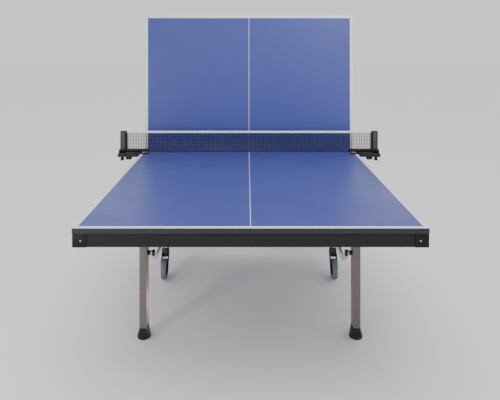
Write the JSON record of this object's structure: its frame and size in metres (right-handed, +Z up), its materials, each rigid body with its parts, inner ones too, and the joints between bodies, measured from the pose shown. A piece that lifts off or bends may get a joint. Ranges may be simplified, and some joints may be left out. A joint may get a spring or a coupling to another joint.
{
  "type": "ping pong table",
  "caption": "Folding table tennis table on a rolling chassis, one half down and one half upright behind the net.",
  "frame": {"origin": "on the floor under the middle of the bounding box", "axes": "+X to the right along the net, +Y from the front end to the upright half, +Z up"},
  "size_m": [1.852, 1.728, 1.741],
  "materials": {
    "blue_top": "matt blue paint with white lines",
    "black_steel": "satin black powder coat",
    "black_plastic": "moulded, lightly grained",
    "grey_steel": "satin grey-brown powder coat",
    "pale_steel": "satin pale grey powder coat",
    "wheel_rubber": "blue-grey rubber tyre on a dark hub",
    "net_fabric": "knotted dark blue net"
  },
  "bodies": {
    "chassis": {"side_frame_left": "black_steel", "side_frame_right": "black_steel", "cross_tube_front": "black_steel", "cross_tube_rear": "black_steel"},
    "front_heads": {"front_hinge_head_left": "black_steel", "front_hinge_head_right": "black_steel"},
    "front_half": {"front_board": "blue_top", "front_end_rail": "black_steel", "front_net_rail": "black_steel", "front_side_rail_left": "black_steel", "front_side_rail_right": "black_steel", "front_corner_guard_left": "black_plastic", "front_corner_guard_right": "black_plastic", "front_beam_left": "black_steel", "front_beam_right": "black_steel", "net_bracket_left": "black_plastic", "net_bracket_right": "black_plastic"},
    "front_legs": {"front_leg_crossbar": "grey_steel", "front_leg_left": "grey_steel", "front_leg_right": "grey_steel"},
    "front_struts": {"front_strut_left": "pale_steel", "front_strut_right": "pale_steel"},
    "front_foot_left": {"front_foot_left": "black_plastic"},
    "front_strut_knob_left": {"front_strut_knob_left": "black_plastic"},
    "front_caster_fork_left": {"front_caster_fork_left": "black_steel"},
    "front_caster_wheel_left": {"front_caster_wheel_left": "wheel_rubber"},
    "front_foot_right": {"front_foot_right": "black_plastic"},
    "front_strut_knob_right": {"front_strut_knob_right": "black_plastic"},
    "front_caster_fork_right": {"front_caster_fork_right": "black_steel"},
    "front_caster_wheel_right": {"front_caster_wheel_right": "wheel_rubber"},
    "rear_heads": {"rear_hinge_head_left": "black_steel", "rear_hinge_head_right": "black_steel"},
    "rear_half": {"rear_board": "blue_top", "rear_end_rail": "black_steel", "rear_net_rail": "black_steel", "rear_side_rail_left": "black_steel", "rear_side_rail_right": "black_steel", "rear_corner_guard_left": "black_plastic", "rear_corner_guard_right": "black_plastic", "rear_beam_left": "black_steel", "rear_beam_right": "black_steel"},
    "rear_legs": {"rear_leg_crossbar": "grey_steel", "rear_leg_left": "grey_steel", "rear_leg_right": "grey_steel"},
    "rear_struts": {"rear_strut_left": "pale_steel", "rear_strut_right": "pale_steel"},
    "rear_foot_left": {"rear_foot_left": "black_plastic"},
    "rear_strut_knob_left": {"rear_strut_knob_left": "black_plastic"},
    "rear_caster_fork_left": {"rear_caster_fork_left": "black_steel"},
    "rear_caster_wheel_left": {"rear_caster_wheel_left": "wheel_rubber"},
    "rear_foot_right": {"rear_foot_right": "black_plastic"},
    "rear_strut_knob_right": {"rear_strut_knob_right": "black_plastic"},
    "rear_caster_fork_right": {"rear_caster_fork_right": "black_steel"},
    "rear_caster_wheel_right": {"rear_caster_wheel_right": "wheel_rubber"},
    "net_set": {"net": "net_fabric", "net_post_left": "black_plastic", "net_post_right": "black_plastic"},
    "net_clamp_screw_left": {"net_clamp_screw_left": "black_plastic"},
    "net_clamp_screw_right": {"net_clamp_screw_right": "black_plastic"}
  },
  "joints": [
    {"name": "front_draw_back", "type": "slide", "parent": "chassis", "child": "front_heads", "axis": [0, -1, 0], "range_m": [0, 0.015]},
    {"name": "front_fold", "type": "hinge", "parent": "front_heads", "child": "front_half", "pos_m": [0, 0.267, 0.61], "axis": [-1, 0, 0], "range_deg": [0, 90]},
    {"name": "front_leg_hinge", "type": "hinge", "parent": "front_half", "child": "front_legs", "pos_m": [0, -0.382, 0.62], "axis": [-1, 0, 0], "range_deg": [-90, 0]},
    {"name": "front_strut_hinge", "type": "hinge", "parent": "front_heads", "child": "front_struts", "pos_m": [0, 0.267, 0.43], "axis": [-1, 0, 0], "range_deg": [0, 90]},
    {"name": "front_foot_left_thread", "type": "slide", "parent": "front_legs", "child": "front_foot_left", "axis": [0, 0, -1], "range_m": [0, 0.006]},
    {"name": "front_strut_knob_left_turn", "type": "hinge", "parent": "front_struts", "child": "front_strut_knob_left", "pos_m": [-0.506, -0.382, 0.44], "axis": [-1, 0, 0], "range_deg": [0, 90]},
    {"name": "front_caster_swivel_left", "type": "hinge", "parent": "chassis", "child": "front_caster_fork_left", "pos_m": [-0.554, 0.267, 0.15], "axis": [0, 0, 1], "continuous": true},
    {"name": "front_wheel_spin_left", "type": "hinge", "parent": "front_caster_fork_left", "child": "front_caster_wheel_left", "pos_m": [-0.554, 0.227, 0.0625], "axis": [1, 0, 0], "continuous": true},
    {"name": "front_foot_right_thread", "type": "slide", "parent": "front_legs", "child": "front_foot_right", "axis": [0, 0, -1], "range_m": [0, 0.006]},
    {"name": "front_strut_knob_right_turn", "type": "hinge", "parent": "front_struts", "child": "front_strut_knob_right", "pos_m": [0.506, -0.382, 0.44], "axis": [1, 0, 0], "range_deg": [0, 90]},
    {"name": "front_caster_swivel_right", "type": "hinge", "parent": "chassis", "child": "front_caster_fork_right", "pos_m": [0.554, 0.267, 0.15], "axis": [0, 0, 1], "continuous": true},
    {"name": "front_wheel_spin_right", "type": "hinge", "parent": "front_caster_fork_right", "child": "front_caster_wheel_right", "pos_m": [0.554, 0.227, 0.0625], "axis": [1, 0, 0], "continuous": true},
    {"name": "rear_draw_back", "type": "slide", "parent": "chassis", "child": "rear_heads", "axis": [0, -1, 0], "range_m": [0, 0.015]},
    {"name": "rear_fold", "type": "hinge", "parent": "rear_heads", "child": "rear_half", "pos_m": [0, 0.76, 0.61], "axis": [-1, 0, 0], "range_deg": [0, 90]},
    {"name": "rear_leg_hinge", "type": "hinge", "parent": "rear_half", "child": "rear_legs", "pos_m": [0, 0.75, 1.259], "axis": [-1, 0, 0], "range_deg": [-90, 0]},
    {"name": "rear_strut_hinge", "type": "hinge", "parent": "rear_heads", "child": "rear_struts", "pos_m": [0, 0.76, 0.43], "axis": [-1, 0, 0], "range_deg": [0, 90]},
    {"name": "rear_foot_left_thread", "type": "slide", "parent": "rear_legs", "child": "rear_foot_left", "axis": [0, 0, -1], "range_m": [0, 0.006]},
    {"name": "rear_strut_knob_left_turn", "type": "hinge", "parent": "rear_struts", "child": "rear_strut_knob_left", "pos_m": [-0.506, 0.75, 1.079], "axis": [-1, 0, 0], "range_deg": [0, 90]},
    {"name": "rear_caster_swivel_left", "type": "hinge", "parent": "chassis", "child": "rear_caster_fork_left", "pos_m": [-0.554, 0.745, 0.15], "axis": [0, 0, 1], "continuous": true},
    {"name": "rear_wheel_spin_left", "type": "hinge", "parent": "rear_caster_fork_left", "child": "rear_caster_wheel_left", "pos_m": [-0.554, 0.785, 0.0625], "axis": [1, 0, 0], "continuous": true},
    {"name": "rear_foot_right_thread", "type": "slide", "parent": "rear_legs", "child": "rear_foot_right", "axis": [0, 0, -1], "range_m": [0, 0.006]},
    {"name": "rear_strut_knob_right_turn", "type": "hinge", "parent": "rear_struts", "child": "rear_strut_knob_right", "pos_m": [0.506, 0.75, 1.079], "axis": [1, 0, 0], "range_deg": [0, 90]},
    {"name": "rear_caster_swivel_right", "type": "hinge", "parent": "chassis", "child": "rear_caster_fork_right", "pos_m": [0.554, 0.745, 0.15], "axis": [0, 0, 1], "continuous": true},
    {"name": "rear_wheel_spin_right", "type": "hinge", "parent": "rear_caster_fork_right", "child": "rear_caster_wheel_right", "pos_m": [0.554, 0.785, 0.0625], "axis": [1, 0, 0], "continuous": true},
    {"name": "net_tilt", "type": "hinge", "parent": "front_half", "child": "net_set", "pos_m": [0, 0.503, 0.7725], "axis": [-1, 0, 0], "range_deg": [-90, 0]},
    {"name": "net_clamp_screw_left_turn", "type": "slide", "parent": "front_half", "child": "net_clamp_screw_left", "axis": [0, 0, -1], "range_m": [0, 0.01]},
    {"name": "net_clamp_screw_right_turn", "type": "slide", "parent": "front_half", "child": "net_clamp_screw_right", "axis": [0, 0, -1], "range_m": [0, 0.01]}
  ],
  "couplings": [
    {"joint": "front_leg_hinge", "follows": "front_fold", "ratio": -1},
    {"joint": "front_strut_hinge", "follows": "front_fold", "ratio": 1},
    {"joint": "rear_leg_hinge", "follows": "rear_fold", "ratio": -1},
    {"joint": "rear_strut_hinge", "follows": "rear_fold", "ratio": 1},
    {"joint": "net_tilt", "follows": "front_fold", "ratio": -1}
  ]
}
